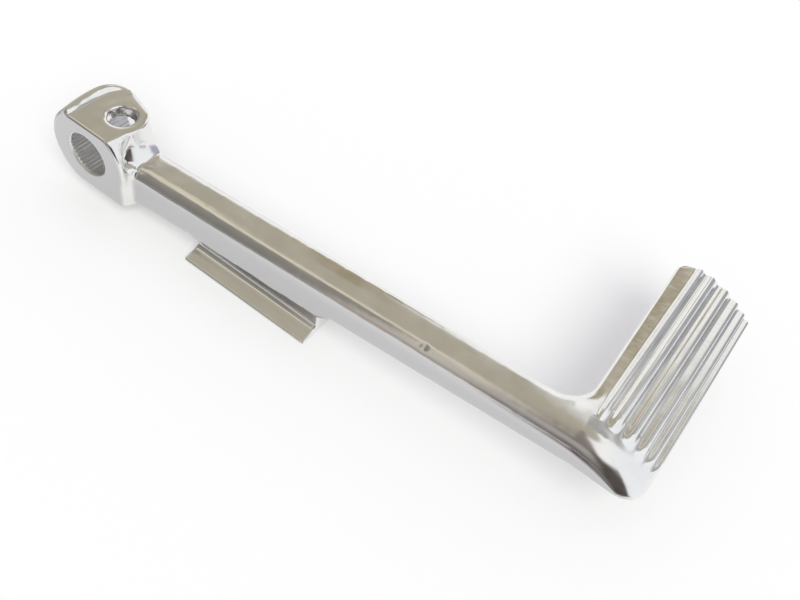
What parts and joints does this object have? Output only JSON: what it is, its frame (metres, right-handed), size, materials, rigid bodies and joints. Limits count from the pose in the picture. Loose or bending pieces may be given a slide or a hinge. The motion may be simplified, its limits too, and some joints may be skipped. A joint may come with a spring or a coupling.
{
  "type": "kick start lever",
  "caption": "Polished cast kick start lever with a splined clamp boss, a slim arm, a buffer rail under the arm and a ribbed pedal set square to it.",
  "frame": {"origin": "centre of the splined shaft bore on the boss's engine-side face", "axes": "+X along the lever towards the pedal, +Y along the shaft bore away from the engine, +Z along the clamp bolt towards its head"},
  "size_m": [0.2022, 0.084, 0.032],
  "materials": {
    "polished_aluminium": "polished"
  },
  "bodies": {
    "root": {"kick_start_lever": "polished_aluminium"}
  },
  "joints": []
}
